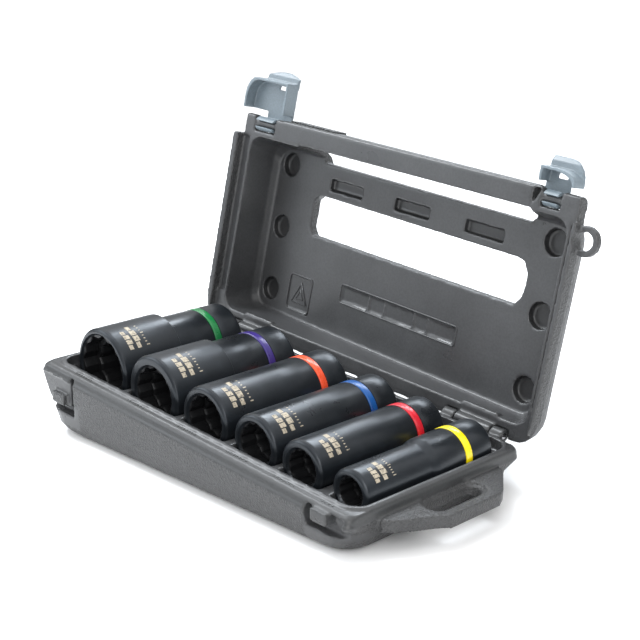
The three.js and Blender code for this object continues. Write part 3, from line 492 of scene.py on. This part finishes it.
MARK_ANGLE = math.radians(62)
MARK_PROUD, MARK_ARC_STEP, MARK_FULL_RADIUS, MARK_LINE = 0.04, 0.8, 17.5, 16.4
MARK_ROWS = [(7.2, 3.6, 3.3, 0.82), (12.4, 3.6, 4.1, 0.86)]   # depth, height, pitch, share that is marked
TICK_DEPTH, TICKS, TICK_PITCH, TICK_WIDTH = 18.4, 8, 2.0, 0.6


def hexagon_reach(angle, across):
    return across / 2 / math.cos(angle % (math.pi / 3) - math.pi / 6)


def twelve_reach(angle, across):
    return max(hexagon_reach(angle, across), hexagon_reach(angle + math.pi / 6, across))


def square_reach(angle, across):
    return across / 2 / max(abs(math.cos(angle)), abs(math.sin(angle)))


def socket_loop(axis_x, axis_z, y, reach):
    """A loop of points round a socket's axis; reach is a radius in millimetres or a function of the angle."""
    points = []
    for i in range(ROUND):
        angle = 2 * math.pi * i / ROUND
        radius = reach(angle) if callable(reach) else reach
        offset = case_x * (radius * math.cos(angle) * MM) + case_z * (radius * math.sin(angle) * MM)
        points.append(Vector((axis_x, y, axis_z)) + offset)
    return points


def bore(across, extra=0.0):
    return lambda angle: twelve_reach(angle, across) + extra


def square(across, extra=0.0):
    return lambda angle: square_reach(angle, across) + extra


def outer_profile(name, length, nose, drive):
    """The socket's outside from the mouth to the drive end, as (depth, radius) in millimetres."""
    groove, after = BAND_FROM - BAND_GAP, BAND_FROM + BAND_WIDTH + BAND_GAP
    step, blend = STEPS.get(name, COMMON_STEP)
    outer = [(along, nose - inset) for along, inset in MOUTH_EDGE]
    outer += [(step - blend - 0.3, nose), (step - blend, nose)]
    for i in range(1, BLEND_STEPS):
        share = i / BLEND_STEPS
        eased = share * share * (3 - 2 * share)
        outer.append((step - blend + blend * share, nose + (drive - nose) * eased))
    outer += [(step, drive), (step + 0.4, drive)]
    outer += [(groove - along, drive - inset) for along, inset in GROOVE_EDGE]
    outer += [(after + along, drive - inset) for along, inset in reversed(GROOVE_EDGE)]
    outer += [(length - along, drive - inset) for along, inset in DRIVE_EDGE]
    return outer


def build_body(name, loop, length, nose, drive, large):
    """The forging, lofted from the drive square over the outside and down into the large bore."""
    corner = large / math.sqrt(3)
    spring_bore = min(corner, drive - BAND_DEPTH - SPRING_WALL)
    loops = [loop(length - (DRIVE_DEPTH - 0.1), CENTRE_RADIUS),
             loop(length - DRIVE_DEPTH, square(DRIVE - 0.6)),
             loop(length - DRIVE_DEPTH, square(DRIVE)), loop(length - 1.2, square(DRIVE)),
             loop(length - 0.1, square(DRIVE, 0.9)), loop(length, square(DRIVE, 1.1))]
    loops += [loop(depth, radius) for depth, radius in reversed(outer_profile(name, length, nose, drive))]
    loops += [loop(0.0, lambda a: max(corner + 1.3, twelve_reach(a, large) + 1.2)),
              loop(0.25, corner + 1.0), loop(1.1, corner + 0.25),
              loop(1.3, lambda a: min(corner + 0.1, twelve_reach(a, large) + 0.35)), loop(2.2, bore(large)),
              loop(LARGE_BORE_END, bore(large)), loop(LARGE_BORE_END + 0.1, spring_bore),
              loop(BORE_END, spring_bore), loop(BORE_END, CENTRE_RADIUS)]
    mesh = loft_mesh(f"{name}_socket", loops, (True, True))
    smooth_by_angle(mesh, 24)
    return make_object(f"socket_{name}_forging", mesh, SOCKET_BLACK, BORE_BLACK)


def build_band(name, loop, drive):
    inner = drive - BAND_DEPTH + 0.3
    end = BAND_FROM + BAND_WIDTH
    rim = [(BAND_FROM, inner)]
    rim += [(BAND_FROM + along, drive - inset) for along, inset in BAND_EDGE]
    rim += [(end - along, drive - inset) for along, inset in reversed(BAND_EDGE)]
    rim += [(end, inner), (BAND_FROM, inner)]
    mesh = loft_mesh(f"{name}_band", [loop(depth, radius) for depth, radius in rim])
    weld(mesh)
    smooth_by_angle(mesh, 50)
    band = make_object(f"socket_{name}_colour_band", mesh, enamel(f"enamel_{name}", BAND_COLORS[name]))
    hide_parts(f"socket_{name}_band")
    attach(band, f"socket_{name}")


def build_sleeve(name, loop, large, small):
    """The inner sleeve: a small bore inside, the large bore's shape outside, and a round neck between."""
    end = SLEEVE_FACE + SLEEVE_LENGTH
    neck = small / math.sqrt(3) + NECK_WALL
    large_out, small_in = bore(large, -SLEEVE_GAP), bore(small)
    loops = [loop(SLEEVE_FACE + 1.6, small_in), loop(SLEEVE_FACE + SLEEVE_CHAMFER, bore(small, 0.45)),
             loop(SLEEVE_FACE, bore(small, 0.75)), loop(SLEEVE_FACE, bore(large, -0.75)),
             loop(SLEEVE_FACE + SLEEVE_CHAMFER, large_out), loop(SLEEVE_FACE + NECK_FROM, large_out),
             loop(SLEEVE_FACE + NECK_FROM, neck), loop(SLEEVE_FACE + NECK_TO, neck),
             loop(SLEEVE_FACE + NECK_TO, large_out),
             loop(end, large_out), loop(end, small_in), loop(SLEEVE_FACE + 1.6, small_in)]
    mesh = loft_mesh(f"{name}_sleeve", loops)
    weld(mesh)
    smooth_by_angle(mesh, 24)
    piece = make_object(f"socket_{name}_inner_sleeve", mesh, BORE_BLACK)
    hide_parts(f"socket_{name}_sleeve")
    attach(piece, f"sleeve_{name}")


def build_socket(name, large, small):
    low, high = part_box(f"socket_{name}_body")
    band_low, band_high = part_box(f"socket_{name}_band")
    axis_x, axis_z = (low.x + high.x) / 2, (low.z + high.z) / 2
    mouth, length = low.y, (high.y - low.y) / MM
    drive = (band_high.x - band_low.x) / 2 / MM - BAND_PROUD
    nose = NOSES.get(name, (high.x - low.x) / 2 / MM)

    def loop(depth, reach):
        return socket_loop(axis_x, axis_z, mouth + depth * MM, reach)

    body = build_body(name, loop, length, nose, drive, large)
    bore_reach = large / math.sqrt(3) + 0.2
    for face in body.data.polygons:
        reach = math.hypot(face.center.x - axis_x, face.center.z - axis_z) / MM
        depth = (face.center.y - mouth) / MM
        face.material_index = 1 if reach < bore_reach and 1.0 < depth < length - 0.5 else 0
    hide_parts(f"socket_{name}_body")
    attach(body, f"socket_{name}")

    build_band(name, loop, drive)
    build_sleeve(name, loop, large, small)
    for part in ("ring", "spring"):
        make_steel(f"socket_{name}_{part}")
    build_marks(name, axis_x, axis_z, mouth, nose)


def build_marks(name, axis_x, axis_z, mouth, radius):
    """Laser-etched plain bars and ticks, wrapped round the socket a hair above its surface."""
    verts, faces = [], []
    top = radius + MARK_PROUD

    def bar(depth0, depth1, arc0, arc1):
        steps = max(2, int(abs(arc1 - arc0) / MARK_ARC_STEP))
        start = len(verts)
        for i in range(steps + 1):
            angle = MARK_ANGLE + (arc0 + (arc1 - arc0) * i / steps) / radius
            out = case_x * math.cos(angle) + case_z * math.sin(angle)
            for depth in (depth0, depth1):
                verts.append(Vector((axis_x, mouth + depth * MM, axis_z)) + out * (top * MM))
        for i in range(steps):
            a = start + 2 * i
            faces.append((a, a + 1, a + 3, a + 2))

    scale = min(1.0, radius / MARK_FULL_RADIUS)
    for depth, height, pitch, share in MARK_ROWS:
        for i in range(int(MARK_LINE / pitch)):
            at = (-8.5 + pitch * i) * scale
            bar(depth, depth + height * (1.0 if i % 3 else 0.7), at, at + pitch * share * scale)
    for i in range(TICKS):
        at = (-8.0 + TICK_PITCH * i) * scale
        bar(TICK_DEPTH, TICK_DEPTH + (2.0 if i % 4 == 0 else 1.1), at, at + TICK_WIDTH * scale)
    mesh = bpy.data.meshes.new(f"{name}_marks")
    mesh.from_pydata([tuple(v) for v in verts], [], faces)
    smooth_by_angle(mesh, 60)
    marks = make_object(f"socket_{name}_marks", mesh, ETCHED)
    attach(marks, f"socket_{name}")


for socket_name, (large_flats, small_flats) in SIZES.items():
    build_socket(socket_name, large_flats, small_flats)

# ---------- Small generic raised dashes on the front lip, one group before each socket ----------

DASHES, DASH_PITCH, LAST_DASH_X = 7, 2.2, 112
dashes = []
for socket_name in SIZES:
    low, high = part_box(f"socket_{socket_name}_body")
    centre = (CASE.inverted() @ ((low + high) / 2)).x / MM
    for i in range(DASHES):
        along = DASH_PITCH * i
        if centre + 5 + along < LAST_DASH_X:
            dashes.append((centre - 3 + along, centre - 1.8 + along, -2.9, -1.5, -1.9, -0.95))
lip = bevelled_boxes("lip_dashes", dashes, CASE, 0.2, CASE_LIP)
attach(lip, "base")

# ---------- Stage, light and camera ----------


def stage_floor():
    mesh = bpy.data.meshes.new("floor")
    size = 60.0
    corners = [(-size, -size, 0), (size, -size, 0), (size, size, 0), (-size, size, 0)]
    mesh.from_pydata(corners, [], [(0, 1, 2, 3)])
    mat, tree, shader = new_material("floor_paper", (0.95, 0.95, 0.95), 0.8)
    clouds = noise(tree, object_coords(tree), 3.0)
    tone = ramp(tree, clouds, [(0.3, (0.94, 0.94, 0.94)), (0.7, (0.96, 0.96, 0.96))])
    tree.links.new(tone, shader.inputs["Base Color"])
    floor = make_object("floor", mesh, mat)
    floor.location.z = -0.0002   # just under the case, so that the two faces don't lie in one plane


def area_light(name, place, target, size, power, color=(1, 1, 1)):
    lamp = bpy.data.lights.new(name, "AREA")
    lamp.shape = "RECTANGLE"
    lamp.size, lamp.size_y = size
    lamp.energy = power
    lamp.color = color
    obj = bpy.data.objects.new(name, lamp)
    obj.location = place
    obj.rotation_euler = (Vector(target) - Vector(place)).to_track_quat("-Z", "Y").to_euler()
    bpy.context.scene.collection.objects.link(obj)


stage_floor()
area_light("key_top", (-0.45, -0.1, 0.85), (0, 0.0, 0.03), (0.22, 0.6), 8, (0.9, 0.95, 1.0))
area_light("rim_back", (-0.3, 0.75, 0.8), (0, 0, 0.04), (0.6, 0.3), 9, (0.86, 0.93, 1.0))
area_light("fill_left", (-0.9, -0.75, 0.55), (0, 0, 0.05), (0.7, 0.5), 4.0, (0.88, 0.94, 1.0))
area_light("fill_right", (0.75, -0.75, 0.5), (0, 0.05, 0.08), (0.5, 0.6), 5.0)

# The studio is bright overhead and darker round the sides, so rounded surfaces show a highlight.
world = bpy.data.worlds.new("studio")
world.use_nodes = True
sky = world.node_tree
background = sky.nodes["Background"]
direction = sky.nodes.new("ShaderNodeTexCoord")
split = sky.nodes.new("ShaderNodeSeparateXYZ")
sky.links.new(direction.outputs["Generated"], split.inputs["Vector"])
SKY_STOPS = [(0.0, (0.28, 0.29, 0.3)), (0.35, (0.34, 0.35, 0.36)), (0.62, (1, 1, 1))]
sky_tone = ramp(sky, split.outputs["Z"], SKY_STOPS)
sky.links.new(sky_tone, background.inputs["Color"])
background.inputs["Strength"].default_value = 1.42
bpy.context.scene.world = world

CAMERA_AT = Vector((0.5010, -0.4396, 0.2714))
AZIMUTH, ELEVATION, ROLL = math.radians(46.4), math.radians(16.56), math.radians(-0.72)
camera_data = bpy.data.cameras.new("camera")
camera_data.sensor_width = 36
camera_data.lens = 76.4
camera = bpy.data.objects.new("camera", camera_data)
level = math.cos(ELEVATION)
back = Vector((math.sin(AZIMUTH) * level, -math.cos(AZIMUTH) * level, math.sin(ELEVATION)))
right = Vector((math.cos(AZIMUTH), math.sin(AZIMUTH), 0))
up = back.cross(right)
rolled = right * math.cos(ROLL) + up * math.sin(ROLL)
above = back.cross(rolled)
camera.matrix_world = Matrix.Translation(CAMERA_AT) @ Matrix((rolled, above, back)).transposed().to_4x4()
bpy.context.scene.collection.objects.link(camera)
bpy.context.scene.camera = camera
bpy.context.scene.view_settings.view_transform = "Standard"
